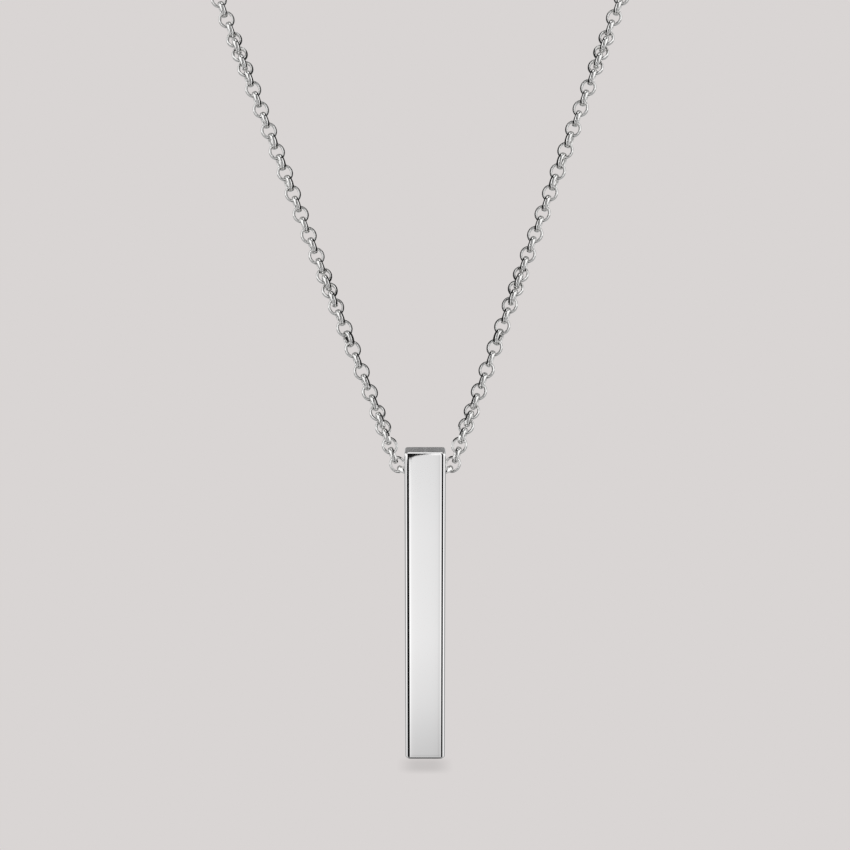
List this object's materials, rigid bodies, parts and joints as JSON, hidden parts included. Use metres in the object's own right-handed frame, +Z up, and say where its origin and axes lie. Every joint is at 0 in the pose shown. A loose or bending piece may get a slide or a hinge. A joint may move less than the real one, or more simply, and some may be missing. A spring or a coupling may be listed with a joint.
{
  "type": "bar pendant necklace",
  "caption": "Polished silver necklace: a square bar pendant with a cross hole, threaded on a fine chain of round links, closed by a spring ring.",
  "frame": {"origin": "the middle of the neck, level with the chain at the two sides of the neck", "axes": "+Z up, +X to the right of someone who looks at the necklace from the front, -Y to the front, where the bar hangs"},
  "size_m": [0.1134, 0.1187, 0.1722],
  "materials": {
    "bar_silver": "polished faces and edges, brushed ends",
    "chain_silver": "polished wire",
    "clasp_silver": "polished"
  },
  "bodies": {
    "chain": {"chain_left": "chain_silver", "chain_right": "chain_silver", "clasp": "clasp_silver"},
    "pendant": {"bar": "bar_silver"}
  },
  "joints": [
    {"name": "pendant_swing", "type": "hinge", "parent": "chain", "child": "pendant", "pos_m": [0, -0.06, -0.13], "axis": [1, 0, 0], "range_deg": [-90, 90]}
  ]
}
